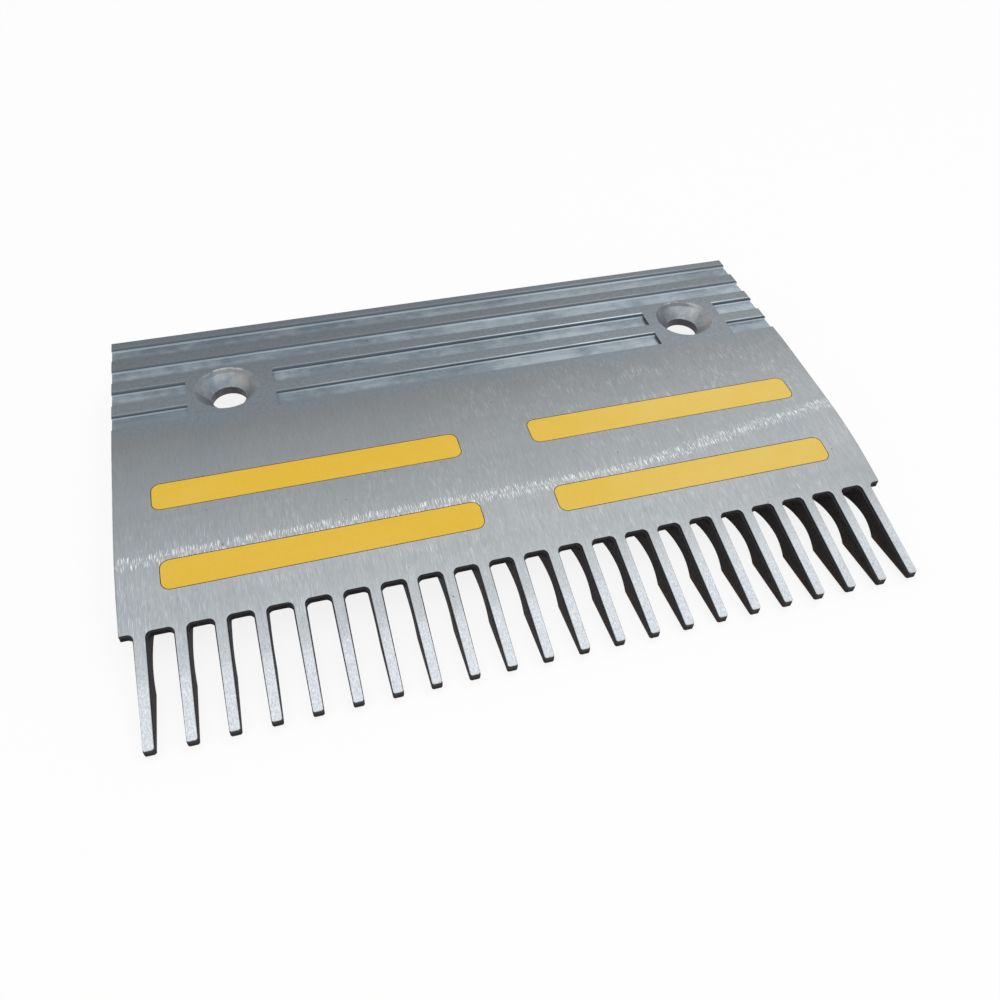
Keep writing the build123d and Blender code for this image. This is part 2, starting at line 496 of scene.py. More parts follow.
@dataclass(frozen=True)
class BrushedTop:
    """Smooth top in front of the grooves: brushed and scuffed from rear to tips, with painted shade
    along it, painted light across it, and a painted highlight of glinting streaks on the nose.

    What ends in _along depends on the distance from the rear edge, and what ends in _across on
    the place along the row of teeth.
    """

    dark: Colour = (0.198, 0.209, 0.216)
    light: Colour = (0.250, 0.261, 0.267)
    clouded: Colour = (0.19, 0.215, 0.23)
    hairline: Colour = (0.56, 0.58, 0.59)
    stroke: Colour = (0.80, 0.82, 0.83)
    # Painted light across the row: bluish and darker on the left, warmer and lighter on the right
    left_shaded: Colour = (0.95, 0.965, 0.985)
    right_lit: Colour = (1.03, 1.02, 1.0)

    fine: Grain = Grain((3.2, 0.20, 0.20), detail=4.0, roughness=0.62, distortion=0.3)
    broad: Grain = Grain((0.45, 0.03, 0.03), (7.0, 3.0, 0.0), 3.0, 0.55)
    broken: Grain = Grain((4.4, 0.6, 0.6), (1.0, 9.0, 4.0), 3.0, 0.6)
    mark_shares: tuple[float, ...] = (0.5, 0.14, 0.36)
    mark_contrast: Ramp = Ramp(0.36, 0.64)
    roughness: Ramp = Ramp(0.0, 1.0, 0.47, 0.37)

    cloud: Grain = Grain((0.05, 0.035, 0.05), (2.0, 5.0, 0.0), 4.0, 0.55)
    cloud_contrast: Ramp = Ramp(0.35, 0.65, 0.0, 0.3)
    # Painted shade along the top: darker behind the crown and towards the nose's front
    rear_shade_along: Ramp = Ramp(45.0, 68.0, 0.86, 1.165)
    front_shade_along: Ramp = Ramp(88.0, 99.0, 1.0, 0.91)
    painted_light_across: Ramp = Ramp(-95.0, 40.0)

    hair: Grain = Grain((8.4, 0.27, 0.27), (2.0, 4.0, 6.0))
    hair_edge: Edge = (0.57, 0.74)
    hair_along: Ramp = Ramp(42.0, 96.0, 0.24, 0.56)
    hair_across: Ramp = Ramp(20.0, 90.0, 1.0, 0.75)
    clump: Grain = Grain((0.09, 0.07, 0.09), (1.0, 2.0, 3.0))
    clump_contrast: Ramp = Ramp(0.40, 0.60, 0.35, 1.0)
    calm_along: Edge = (80.0, 60.0)
    calm_across: Edge = (10.0, -50.0)
    calm_hair: Ramp = Ramp(0.0, 1.0, 1.0, 0.35)

    scuff: Grain = Grain((3.8, 0.36, 0.36), (7.0, 1.0, 5.0))
    scuff_edge: Edge = (0.55, 0.70)
    scuffed: Grain = Grain((0.12, 0.16, 0.12), (5.0, 3.0, 8.0))
    scuffed_edge: Edge = (0.44, 0.58)
    scuff_along: Edge = (74.0, 60.0)
    scuff_across: Ramp = Ramp(-30.0, 30.0, 0.04, 0.36)

    # Painted highlight: glinting streaks in a band across the nose
    glint_band_across: Ramp = Ramp(30.0, 99.0, 85.0, 74.5)
    glint_band_edge: Edge = (4.6, 0.3)
    glint_band_fade: Edge = (0.02, 0.35)
    lean: Grain = Grain((0.30, 0.07, 0.3), (9.0, 9.0, 9.0), 1.0)
    lean_width: float = 0.30
    glint_streak: Grain = Grain((6.2, 0.40, 0.3), (3.0, 7.0, 1.0), 2.0, 0.55)
    glint_threshold: Ramp = Ramp(0.0, 1.0, 0.72, 0.51)
    glint_edge: Edge = (0.0, 0.14)
    glint_strength: float = 0.75

    def marks(self, place: CombPlace) -> Socket:
        """Give the height of the brush marks, around 0.5."""
        layers = tuple(place.grain(grain) for grain in (self.fine, self.broad, self.broken))
        return place.bench.shared(layers, self.mark_shares)

    def hairs(self, place: CombPlace) -> Socket:
        """Give how much of a hairline shows, which is less on the left behind the nose."""
        bench = place.bench
        calm = bench.step(place.from_rear, self.calm_along)
        calm = bench.times(calm, bench.step(place.x, self.calm_across))
        return bench.times(
            bench.step(place.grain(self.hair), self.hair_edge),
            bench.ramp(place.from_rear, self.hair_along),
            bench.ramp(place.grain(self.clump), self.clump_contrast),
            bench.ramp(place.x, self.hair_across),
            bench.ramp(calm, self.calm_hair),
        )

    def scuffs(self, place: CombPlace) -> Socket:
        """Give how much of a scuff shows, behind the rear strips and mostly on the right."""
        bench = place.bench
        return bench.times(
            bench.step(place.grain(self.scuff), self.scuff_edge),
            bench.step(place.grain(self.scuffed), self.scuffed_edge),
            bench.step(place.from_rear, self.scuff_along),
            bench.ramp(place.x, self.scuff_across),
        )

    def colour(self, place: CombPlace, contrast: Socket) -> Socket:
        """Colour the brushed surface, with painted shade along it and painted light across it.

        Args:
            place: Where the surface is.
            contrast: The brush marks, from 0 to 1.

        Returns:
            The colour.
        """
        bench = place.bench
        brushed = bench.tint(contrast, self.dark, self.light)
        cloud = bench.ramp(place.grain(self.cloud), self.cloud_contrast)
        brushed = bench.tint(cloud, brushed, self.clouded)
        brushed = bench.tint(self.hairs(place), brushed, self.hairline)
        brushed = bench.tint(self.scuffs(place), brushed, self.hairline)
        # Painted shade along the top, and painted light across it
        rear_shade = bench.ramp(place.from_rear, self.rear_shade_along)
        front_shade = bench.ramp(place.from_rear, self.front_shade_along)
        brushed = bench.scaled(brushed, bench.times(rear_shade, front_shade))
        cast = bench.tint(bench.ramp(place.x, self.painted_light_across), self.left_shaded, self.right_lit)
        return bench.tint(1.0, brushed, cast, "MULTIPLY")

    def strokes(self, place: CombPlace) -> Socket:
        """Give how much of the painted highlight shows: glinting streaks in a band on the nose that
        bends back on the right.
        """
        bench = place.bench
        away = bench.apart(place.from_rear, bench.ramp(place.x, self.glint_band_across))
        density = bench.step(away, self.glint_band_edge)
        lean = bench.times(place.grain(self.lean), self.lean_width)
        leant = bench.node("ShaderNodeCombineXYZ")
        bench.feed(leant.inputs[0], bench.plus(place.x, lean))
        bench.feed(leant.inputs[1], place.y)
        glint_streak = bench.noise(leant.outputs[0], self.glint_streak)
        over = bench.minus(glint_streak, bench.ramp(density, self.glint_threshold))
        shown = bench.step(over, self.glint_edge)
        return bench.times(shown, bench.step(density, self.glint_band_fade), self.glint_strength)


@dataclass(frozen=True)
class GroovedRear:
    """Grooved rear: mottled lands with painted shade, light floors with painted light by their rear
    walls, and a painted line of shade with painted highlights along the rear side of each groove.

    Depths count down from the lands, and windows count the distance to a land's front edge.
    """

    land_dark: Colour = (0.138, 0.159, 0.178)
    land_light: Colour = (0.170, 0.194, 0.216)
    right_land: Colour = (0.985, 0.965, 0.92)
    floor_dull: Colour = (0.175, 0.212, 0.245)
    floor_bright: Colour = (0.320, 0.362, 0.395)
    # Painted highlight on the rim, painted shade for the line and painted glint on the wall, along
    # each groove's rear side
    rim_highlight: Colour = (0.62, 0.66, 0.69)
    shade_line_faint: Colour = (0.108, 0.136, 0.162)
    shade_line_dark: Colour = (0.066, 0.090, 0.114)
    wall_glint: Colour = (0.84, 0.90, 0.93)

    mottle: Grain = Grain((0.9, 0.8, 0.9), (5.0, 1.0, 0.0), 5.0, 0.72, 0.3)
    mottle_contrast: Ramp = Ramp(0.32, 0.68)
    roughness: Ramp = Ramp(0.3, 0.7, 0.50, 0.40)
    grit: Grain = Grain((2.6, 2.2, 2.4), (3.0, 6.0, 1.0), 3.0, 0.7)
    grit_contrast: Ramp = Ramp(0.35, 0.65, 0.90, 1.10)
    # Painted shade over the lands: darker towards the rear and the left
    land_shade_along: Ramp = Ramp(8.0, 32.0, 0.87, 1.12)
    land_shade_across: Ramp = Ramp(-95.0, 80.0, 0.95, 1.05)
    warm_across: Ramp = Ramp(40.0, 90.0)

    stain: Grain = Grain((0.05, 0.10, 0.05), (3.0, 8.0, 0.0), 3.0, 0.6)
    cloudy: Grain = Grain((0.30, 0.42, 0.3), (4.0, 8.0, 0.0), 4.0, 0.6)
    patch_shares: Pair = (0.6, 0.4)
    patch_contrast: Ramp = Ramp(0.38, 0.62)
    brighter_across: Ramp = Ramp(-30.0, 40.0, -0.07, 0.07)
    duller_across: Ramp = Ramp(45.0, 85.0, 0.0, -0.07)
    # Painted light on the floor, strongest right by the rear wall
    painted_light_by_wall: Ramp = Ramp(0.1, 1.3, 1.65, 1.0)
    first_floor_along: Ramp = Ramp(9.0, 13.0, 0.86, 1.0)
    ragged: float = 2.4
    reach_across: Ramp = Ramp(-20.0, 50.0, 0.0, -2.5)
    floor_end: Edge = (2.4, 4.4)
    floor_depth: Edge = (0.45, 0.75)

    grooved_along: Edge = (40.0, 38.0)
    near_holes_along: Edge = (19.5, 21.5)
    last_row_along: Edge = (27.0, 30.0)
    last_row_shift: float = 0.3
    run_end: Edge = (-0.1, 0.1)
    land_top: Edge = (0.15, 0.05)
    wear_and_glint: Grain = Grain((0.035, 0.1, 0.02), (5.0, 2.0, 7.0), 3.0, 0.6)
    wear_and_glint_contrast: Ramp = Ramp(0.40, 0.62, 0.3, 1.0)
    rim_glint_across: Ramp = Ramp(-60.0, 30.0, 0.2, 1.0)
    rim_window: Window = (0.85, 1.35, 0.2)
    rim_strengths: Pair = (0.25, 0.9)
    shade_line_window: Window = (0.2, 0.75, 0.15)
    faces_tips: Edge = (-0.3, -0.6)
    chamfer_depth: Edge = (0.32, 0.28)
    shade_line_along: Edge = (16.0, 22.0)
    shade_line_across: Ramp = Ramp(-60.0, 10.0, 0.45, 1.0)
    wall_depth: Edge = (0.26, 0.36)
    wall_shade: float = 0.12
    wall_foot: Edge = (0.1, 0.05)
    wall_contrast: Ramp = Ramp(0.36, 0.64, 0.8, 1.0)
    wall_across: Ramp = Ramp(-40.0, 40.0, 0.82, 1.0)

    def lands(self, place: CombPlace, mottle: Socket) -> Socket:
        """Colour the lands.

        Args:
            place: Where the surface is.
            mottle: The lands' cloudy pattern.

        Returns:
            The colour.
        """
        bench = place.bench
        land = bench.tint(bench.ramp(mottle, self.mottle_contrast), self.land_dark, self.land_light)
        # Painted shade, darker towards the rear and the left, with a gritty tone between
        for value, ramp in (
            (place.from_rear, self.land_shade_along),
            (place.grain(self.grit), self.grit_contrast),
            (place.x, self.land_shade_across),
        ):
            land = bench.scaled(land, bench.ramp(value, ramp))
        return bench.tint(bench.ramp(place.x, self.warm_across), land, self.right_land, "MULTIPLY")

    def floors(self, place: CombPlace, mottle: Socket, colour: Socket) -> Socket:
        """Lighten the floor of each groove in front of its rear wall, with painted light strongest
        right by the wall.

        Args:
            place: Where the surface is.
            mottle: The lands' cloudy pattern.
            colour: Colour of the lands.

        Returns:
            The colour of lands and floors.
        """
        bench, plan = place.bench, place.plan
        in_pitch = bench.minus(place.from_rear, plan.groove_start)
        in_pitch = bench.math("MODULO", in_pitch, plan.groove_pitch)
        patch = bench.plus(
            bench.shared((place.grain(self.stain), place.grain(self.cloudy)), self.patch_shares),
            bench.ramp(place.x, self.brighter_across),
            bench.ramp(place.x, self.duller_across),
        )
        bright = bench.ramp(patch, self.patch_contrast)
        floor = bench.tint(bright, self.floor_dull, self.floor_bright)
        # Painted light on the floor by the rear wall
        floor = bench.scaled(floor, bench.ramp(in_pitch, self.painted_light_by_wall))
        floor = bench.scaled(floor, bench.ramp(place.from_rear, self.first_floor_along))
        ragged = bench.times(bench.minus(mottle, MIDDLE_OF_NOISE), self.ragged)
        reach = bench.plus(in_pitch, ragged, bench.ramp(place.x, self.reach_across))
        floor = bench.tint(bench.step(reach, self.floor_end), floor, colour)
        sunk = bench.times(bench.step(place.z, below(plan.land_z, self.floor_depth)), place.rear)
        return bench.tint(sunk, colour, floor)

    def lines(self, place: CombPlace, colour: Socket) -> tuple[Socket, Socket]:
        """Paint a highlight on the rim, a line of shade and a highlight on the wall along the rear
        side of each groove.

        Args:
            place: Where the surface is.
            colour: The colour so far.

        Returns:
            The new colour, and how much of it is painted shade line or wall highlight.
        """
        bench, plan = place.bench, place.plan
        shifted = bench.plus(place.from_rear, plan.groove_pitch - plan.groove_start)
        to_edge = bench.minus(plan.groove_pitch, bench.math("MODULO", shifted, plan.groove_pitch))
        last_row = bench.step(place.from_rear, self.last_row_along)
        to_edge = bench.plus(to_edge, bench.times(last_row, self.last_row_shift))
        grooved = bench.step(place.from_rear, self.grooved_along)
        near_holes = bench.step(place.from_rear, self.near_holes_along)
        faces_tips = bench.step(place.facing_y, self.faces_tips)

        from_land = bench.math("MINIMUM", *(bench.apart(place.x, middle) for middle in plan.land_x))
        run = bench.step(from_land, past(plan.land_half_width, self.run_end))
        in_run = bench.blend(near_holes, 1.0, run)
        at_top = bench.step(place.z, below(plan.land_z, self.land_top))
        on_land = bench.times(place.level, grooved, at_top, in_run)

        # Painted highlight on the land's edge ahead of each groove, in patches of wear
        wear_and_glint = place.grain(self.wear_and_glint)
        rim_highlight_shown = bench.times(
            on_land,
            bench.window(to_edge, self.rim_window),
            bench.ramp(wear_and_glint, self.wear_and_glint_contrast),
            bench.ramp(place.x, self.rim_glint_across),
            bench.blend(near_holes, *self.rim_strengths),
        )
        colour = bench.tint(rim_highlight_shown, colour, self.rim_highlight)

        # Painted shade: a dark line on the land's edge and chamfer, where the rear wall falls into
        # shade
        on_chamfer = bench.step(place.z, below(plan.land_z, self.chamfer_depth))
        shade_line_shown = bench.most(
            bench.times(on_land, bench.window(to_edge, self.shade_line_window)),
            bench.times(on_chamfer, faces_tips, grooved),
        )
        dark = bench.times(
            bench.step(place.from_rear, self.shade_line_along),
            bench.ramp(place.x, self.shade_line_across),
        )
        colour = bench.tint(shade_line_shown, colour, bench.tint(dark, self.shade_line_faint, self.shade_line_dark))

        # Painted glint on the lower part of each groove's rear wall
        raised = bench.plus(place.z, bench.times(near_holes, self.wall_shade))
        wall_glint_shown = bench.times(
            bench.step(raised, below(plan.land_z, self.wall_depth)),
            faces_tips,
            bench.step(place.z, below(plan.land_z - plan.groove_depth, self.wall_foot)),
            grooved,
            bench.ramp(wear_and_glint, self.wall_contrast),
            bench.ramp(place.x, self.wall_across),
        )
        colour = bench.tint(wall_glint_shown, colour, self.wall_glint)
        return colour, bench.most(shade_line_shown, wall_glint_shown)


@dataclass(frozen=True)
class ToothTops:
    """Silver tops of the teeth, and the worn edges around all that faces up, with a painted
    highlight on them.
    """

    dark: Colour = (0.262, 0.282, 0.302)
    light: Colour = (0.425, 0.445, 0.465)
    worn_edge_highlight: Colour = (0.48, 0.50, 0.52)
    roughness: float = 0.38
    edge_roughness: float = 0.3

    sparkle: Grain = Grain((3.6, 1.5, 1.5), (8.0, 2.0, 0.0), 5.0, 0.72)
    sparkle_contrast: Ramp = Ramp(0.38, 0.62)
    on_teeth_along: Edge = (99.0, 121.0)
    dull_window: Window = (107.5, 115.0, 3.0)
    dull_across: Ramp = Ramp(-10.0, 30.0, 1.0, 0.0)
    dulled: Ramp = Ramp(0.0, 1.0, 1.0, 0.87)

    # Painted highlight on the worn edges, in patches of wear
    tilt_edge: Edge = (0.30, 0.50)
    wear: Grain = Grain((0.9, 0.35, 0.35), detail=3.0, roughness=0.6)
    wear_contrast: Ramp = Ramp(0.35, 0.6, 0.3, 0.7)
    toothed_along: Edge = (94.0, 100.0)
    toothed_wear_and_glint: float = 0.95
    wear_height: Edge = (1.5, 4.0)

    def colour(self, place: CombPlace) -> Socket:
        """Colour the tops, which are a little duller near the roots on the left."""
        bench = place.bench
        sparkle = bench.ramp(place.grain(self.sparkle), self.sparkle_contrast)
        silver = bench.tint(sparkle, self.dark, self.light)
        dull = bench.times(
            bench.window(place.from_rear, self.dull_window),
            bench.ramp(place.x, self.dull_across),
        )
        return bench.scaled(silver, bench.ramp(dull, self.dulled))

    def edges(self, place: CombPlace) -> Socket:
        """Give how much of the worn edges' painted highlight shows, most on the teeth and none on
        the grooved rear.
        """
        bench = place.bench
        tilted = bench.times(bench.step(place.facing_z, self.tilt_edge), bench.inverse(place.level))
        wear_and_glint = bench.ramp(place.grain(self.wear), self.wear_contrast)
        wear_and_glint = bench.blend(bench.step(place.from_rear, self.toothed_along), wear_and_glint, self.toothed_wear_and_glint)
        wear_and_glint = bench.blend(place.rear, wear_and_glint, 0.0)
        return bench.times(tilted, wear_and_glint, bench.step(place.z, self.wear_height))


@dataclass(frozen=True)
class Pits:
    """A few small dark pits in all that faces up."""

    colour: Colour = (0.03, 0.03, 0.03)
    per_millimetre: float = 0.35
    size_edge: Edge = (0.10, 0.05)
    chance_edge: Edge = (0.93, 0.95)
    strength: float = 0.7

    def shown(self, place: CombPlace) -> Socket:
        """Give how much of a pit shows."""
        bench = place.bench
        distance, chance = bench.cells(place.spot, self.per_millimetre)
        return bench.times(
            bench.step(distance, self.size_edge),
            bench.step(chance, self.chance_edge),
            self.strength,
        )


@dataclass(frozen=True)
class CastSkin:
    """Cast skin, painted near black on the sides for the shade they stand in, the plainer outer
    faces, and the grey underside.
    """

    # Painted shade: the sides' near-black colour stands in for the shade they are in
    dark: Colour = (0.010, 0.009, 0.010)
    light: Colour = (0.058, 0.047, 0.044)
    low_brown: Colour = (0.064, 0.030, 0.021)
    cap_side: Colour = (0.050, 0.055, 0.062)
    groove_end: Colour = (0.095, 0.113, 0.130)
    outer_dark: Colour = (0.075, 0.078, 0.082)
    outer_light: Colour = (0.140, 0.144, 0.150)
    under_dark: Colour = (0.10, 0.103, 0.105)
    under_light: Colour = (0.20, 0.205, 0.208)

    cast: Grain = Grain((1.4, 1.4, 1.4), detail=5.0, roughness=0.65)
    drawn: Grain = Grain((0.5, 0.25, 2.2), (4.0, 4.0, 4.0), 3.0, 0.6)
    flow: Grain = Grain((0.06, 0.11, 0.2), (1.0, 6.0, 2.0), 5.0, 0.6, 0.8)
    shade_shares: Pair = (0.6, 0.4)
    shade_contrast: Ramp = Ramp(0.38, 0.66)
    height_shares: Pair = (0.7, 0.3)
    flow_contrast: Ramp = Ramp(0.35, 0.65)
    roughness: Ramp = Ramp(0.3, 0.7, 0.55, 0.75)
    low_brown_height: Edge = (2.6, 0.6)
    cap_depth: Edge = (1.2, 0.95)
    groove_reach: Edge = (1.3, 1.1)
    outer_side: Edge = (0.45, 0.4)
    outer_rear: Edge = (0.45, 0.4)
    outer_along: Edge = (104.0, 100.0)

    def dress(self, place: CombPlace) -> tuple[Socket, Socket, Socket]:
        """Dress all that doesn't face up.

        Args:
            place: Where the surface is.

        Returns:
            The colour, the roughness and a height.
        """
        bench, plan = place.bench, place.plan
        layers = (place.grain(self.cast), place.grain(self.drawn))
        shade = bench.ramp(bench.shared(layers, self.shade_shares), self.shade_contrast)
        # Sides painted near black as shade
        side = bench.tint(shade, self.dark, self.light)
        # Browner towards the bottom
        side = bench.tint(bench.step(place.z, self.low_brown_height), side, self.low_brown)
        cap = bench.times(bench.step(place.below_slope, self.cap_depth), place.nose)
        side = bench.tint(cap, side, self.cap_side)
        in_groove = bench.step(place.z, below(plan.land_z, self.groove_reach))
        side = bench.tint(bench.times(place.rear, in_groove), side, self.groove_end)

        past_side = bench.step(
            bench.math("ABSOLUTE", place.x), below(plan.half_width, self.outer_side)
        )
        past_rear = bench.step(place.from_rear, self.outer_rear)
        on_plate = bench.step(place.from_rear, self.outer_along)
        outside = bench.times(bench.most(past_side, past_rear), on_plate)
        side = bench.tint(outside, side, bench.tint(shade, self.outer_dark, self.outer_light))
        flow = bench.ramp(place.grain(self.flow), self.flow_contrast)
        colour = bench.tint(place.down, side, bench.tint(flow, self.under_dark, self.under_light))
        height = bench.shared(layers, self.height_shares)
        return colour, bench.ramp(layers[0], self.roughness), height


@dataclass(frozen=True)
class TurnedHoles:
    """Turned cones and bores of the two screw holes, with painted light and shade by the way the
    cones face and a painted highlight on part of their rims.
    """

    # Lit and shaded tones of the cone, as painted light and shade
    cone_lit: Colour = (0.335, 0.338, 0.335)
    cone_shaded: Colour = (0.160, 0.185, 0.210)
    rim_highlight: Colour = (0.55, 0.57, 0.58)
    bore_light: Colour = (0.150, 0.148, 0.158)
    bore_dark: Colour = (0.050, 0.050, 0.053)
    roughness: float = 0.48
    metallic: float = 0.8

    rim_fade: Edge = (0.06, -0.06)
    faces_up: Edge = (-0.5, -0.2)
    ring_scale: float = 3.0
    ring_detail: float = 3.0
    patch: Grain = Grain((0.3, 0.3, 0.3), (3.0, 1.0, 2.0), 4.0, 0.65)
    shade_shares: tuple[float, ...] = (0.25, 1.9, -0.35, 0.12)
    shade_contrast: Ramp = Ramp(0.72, 1.58)
    rim_reach: Edge = (0.42, 0.25)
    rim_window: Window = (-0.45, 0.4, 0.3)
    rim_contrast: Ramp = Ramp(0.42, 0.58, 0.1, 0.9)
    drawn: Grain = Grain((0.8, 0.8, 0.25), (3.0, 7.0, 2.0), 3.0, 0.6)
    bore_shares: Pair = (0.15, 1.0)
    bore_contrast: Ramp = Ramp(0.1, 1.0)
    bore_edge: Edge = (0.5, 0.25)

    def dress(self, place: CombPlace) -> tuple[Socket, Socket, Socket]:
        """Dress the holes.

        Args:
            place: Where the surface is.

        Returns:
            Where they show, their colour and a height.
        """
        bench, plan = place.bench, place.plan
        radius = bench.math("MINIMUM", *(place.from_axis(x, plan.screw_y) for x in plan.screw_x))
        inside = bench.times(
            bench.step(radius, past(plan.countersink_radius, self.rim_fade)),
            bench.step(place.facing_z, self.faces_up),
        )
        rings = bench.node("ShaderNodeTexNoise", noise_dimensions="1D")
        bench.feed(rings.inputs["W"], radius)
        rings.inputs["Scale"].default_value = self.ring_scale
        rings.inputs["Detail"].default_value = self.ring_detail
        ring = rings.outputs[0]

        patch = place.grain(self.patch)
        # Painted light and shade: the cone is lighter on its right side and darker on its left
        shade = bench.shared((ring, patch, place.facing_x, place.facing_y), self.shade_shares)
        cone = bench.tint(bench.ramp(shade, self.shade_contrast), self.cone_shaded, self.cone_lit)
        # Painted highlight on part of the rim, chosen by the way it faces, in patches
        rim_highlight_shown = bench.times(
            bench.step(radius, below(plan.countersink_radius, self.rim_reach)),
            bench.window(place.facing_x, self.rim_window),
            bench.ramp(patch, self.rim_contrast),
        )
        cone = bench.tint(rim_highlight_shown, cone, self.rim_highlight)
        # The bore's tone follows its grain and, a little, the way it faces, as painted shade
        drawn = bench.shared((place.facing_x, place.grain(self.drawn)), self.bore_shares)
        bore = bench.tint(bench.ramp(drawn, self.bore_contrast), self.bore_dark, self.bore_light)
        return inside, bench.tint(bench.step(place.facing_z, self.bore_edge), cone, bore), ring


@dataclass(frozen=True)
class PlateFinish:
    """Finish of the comb: brushed and worn on top with painted light, shade and highlights, and a
    cast skin elsewhere that is painted near black as shade on the sides.
    """

    brushed: BrushedTop = BrushedTop()
    grooved: GroovedRear = GroovedRear()
    teeth: ToothTops = ToothTops()
    pits: Pits = Pits()
    skin: CastSkin = CastSkin()
    holes: TurnedHoles = TurnedHoles()
    ledge_depth: Edge = (0.3, 0.6)
    under_metallic: float = 0.6
    rear_metallic: float = 0.9
    gloss: float = 0.06
    bump_distance: float = 0.00005
    bump_strength: float = 0.22

    def make(self) -> bpy.types.Material:
        """Build the material.

        Returns:
            The material of the whole casting.
        """
        material = bpy.data.materials.new("comb_casting")
        bench = NodeBench(material)
        place = CombPlace(bench)
        ledge = bench.times(bench.step(place.below_slope, self.ledge_depth), place.nose)
        up = bench.times(place.level, bench.inverse(ledge))
        marks = self.brushed.marks(place)
        top_colour, top_rough = self.top(place, marks)
        skin_colour, skin_rough, skin_height = self.skin.dress(place)
        hole, hole_colour, hole_height = self.holes.dress(place)
        edge = self.teeth.edges(place)

        colour = bench.tint(up, skin_colour, top_colour)
        # Painted highlight on the worn edges
        colour = bench.tint(edge, colour, self.teeth.worn_edge_highlight)
        colour, drawn = self.grooved.lines(place, colour)
        colour = bench.tint(hole, colour, hole_colour)
        # Painted highlight of glinting streaks on the nose
        strokes = bench.times(self.brushed.strokes(place), up)
        colour = bench.tint(strokes, colour, self.brushed.stroke)

        rough = bench.blend(up, skin_rough, top_rough)
        rough = bench.blend(edge, rough, self.teeth.edge_roughness)
        rough = bench.blend(hole, rough, self.holes.roughness)
        metallic = bench.most(
            up,
            edge,
            bench.times(hole, self.holes.metallic),
            bench.times(place.down, self.under_metallic),
            bench.times(place.rear, self.rear_metallic),
        )
        metallic = bench.times(metallic, bench.inverse(drawn))
        height = bench.blend(bench.times(up, bench.inverse(place.rear)), skin_height, marks)
        height = bench.blend(hole, height, hole_height)
        normal = bench.bump(height, self.bump_distance, self.bump_strength)
        bench.surface(colour, rough, metallic, self.gloss, normal)
        return material

    def top(self, place: CombPlace, marks: Socket) -> tuple[Socket, Socket]:
        """Dress all that faces up.

        Args:
            place: Where the surface is.
            marks: The brush marks.

        Returns:
            The colour and the roughness.
        """
        bench = place.bench
        contrast = bench.ramp(marks, self.brushed.mark_contrast)
        mottle = place.grain(self.grooved.mottle)
        on_teeth = bench.step(place.from_rear, self.teeth.on_teeth_along)

        brushed = self.brushed.colour(place, contrast)
        colour = bench.tint(place.rear, brushed, self.grooved.lands(place, mottle))
        colour = self.grooved.floors(place, mottle, colour)
        colour = bench.tint(on_teeth, colour, self.teeth.colour(place))
        colour = bench.tint(self.pits.shown(place), colour, self.pits.colour)

        rough = bench.ramp(contrast, self.brushed.roughness)
        rough = bench.blend(place.rear, rough, bench.ramp(mottle, self.grooved.roughness))
        return colour, bench.blend(on_teeth, rough, self.teeth.roughness)


@dataclass(frozen=True)
class StripFinish:
    """Matte golden resin of the marking strips, with a few specks of soil and painted shade on
    their sides.
    """

    gold: Colour = (0.73, 0.455, 0.030)
    pale: Colour = (0.735, 0.525, 0.115)
    soil: Colour = (0.20, 0.12, 0.03)

    cloud: Grain = Grain((0.07, 0.12, 0.1), detail=4.0, roughness=0.6)
    cloud_contrast: Ramp = Ramp(0.3, 0.7, -0.18, 0.18)
    paler_across: Ramp = Ramp(-15.0, 45.0, 0.06, 0.78)
    speck: Grain = Grain((2.2, 1.3, 2.0), (1.0, 1.0, 1.0), 3.0, 0.7)
    speck_contrast: Ramp = Ramp(0.56, 0.75, 0.0, 0.16)
    side_edge: Edge = (0.8, 0.4)
    side_shade: float = 0.85
    moulded: Grain = Grain((1.7, 1.7, 1.7), (2.0, 2.0, 2.0), 3.0, 0.6)
    rubbed: Grain = Grain((1.5, 0.06, 0.1), (6.0, 2.0, 0.0), 3.0, 0.6)
    height_shares: Pair = (0.75, 0.25)
    roughness: Ramp = Ramp(0.3, 0.7, 0.50, 0.64)
    gloss: float = 0.35
    bump_distance: float = 0.00005
    bump_strength: float = 0.25

    def make(self) -> bpy.types.Material:
        """Build the material.

        Returns:
            The material of the strips.
        """
        material = bpy.data.materials.new("golden_resin")
        bench = NodeBench(material)
        place = SurfacePlace(bench)
        paler = bench.plus(
            bench.ramp(place.x, self.paler_across),
            bench.ramp(place.grain(self.cloud), self.cloud_contrast),
        )
        colour = bench.tint(paler, self.gold, self.pale)
        specks = bench.ramp(place.grain(self.speck), self.speck_contrast)
        colour = bench.tint(specks, colour, self.soil)
        # Painted shade on the strips' sides, in the gap round each strip
        side = bench.step(place.facing_z, self.side_edge)
        colour = bench.tint(bench.times(side, self.side_shade), colour, self.soil)
        rubbed = place.grain(self.rubbed)
        height = bench.shared((place.grain(self.moulded), rubbed), self.height_shares)
        normal = bench.bump(height, self.bump_distance, self.bump_strength)
        bench.surface(colour, bench.ramp(rubbed, self.roughness), 0.0, self.gloss, normal)
        return material


def wear(piece: bpy.types.Object, material: bpy.types.Material) -> None:
    """Put a material on a piece, in place of what it has.

    Args:
        piece: The piece.
        material: The material.
    """
    piece.data.materials.clear()
    piece.data.materials.append(material)
    log.info("%s wears %s", piece.name, material.name)


@dataclass
class CombCasting:
    """The cast comb: plate, teeth, ribs and holes in one piece."""

    node: str = "comb_body"
    finish: PlateFinish = PlateFinish()

    def dress(self, nodes: dict[str, bpy.types.Object]) -> None:
        """Give the casting its finish.

        Args:
            nodes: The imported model's objects by name.
        """
        wear(nodes[self.node], self.finish.make())


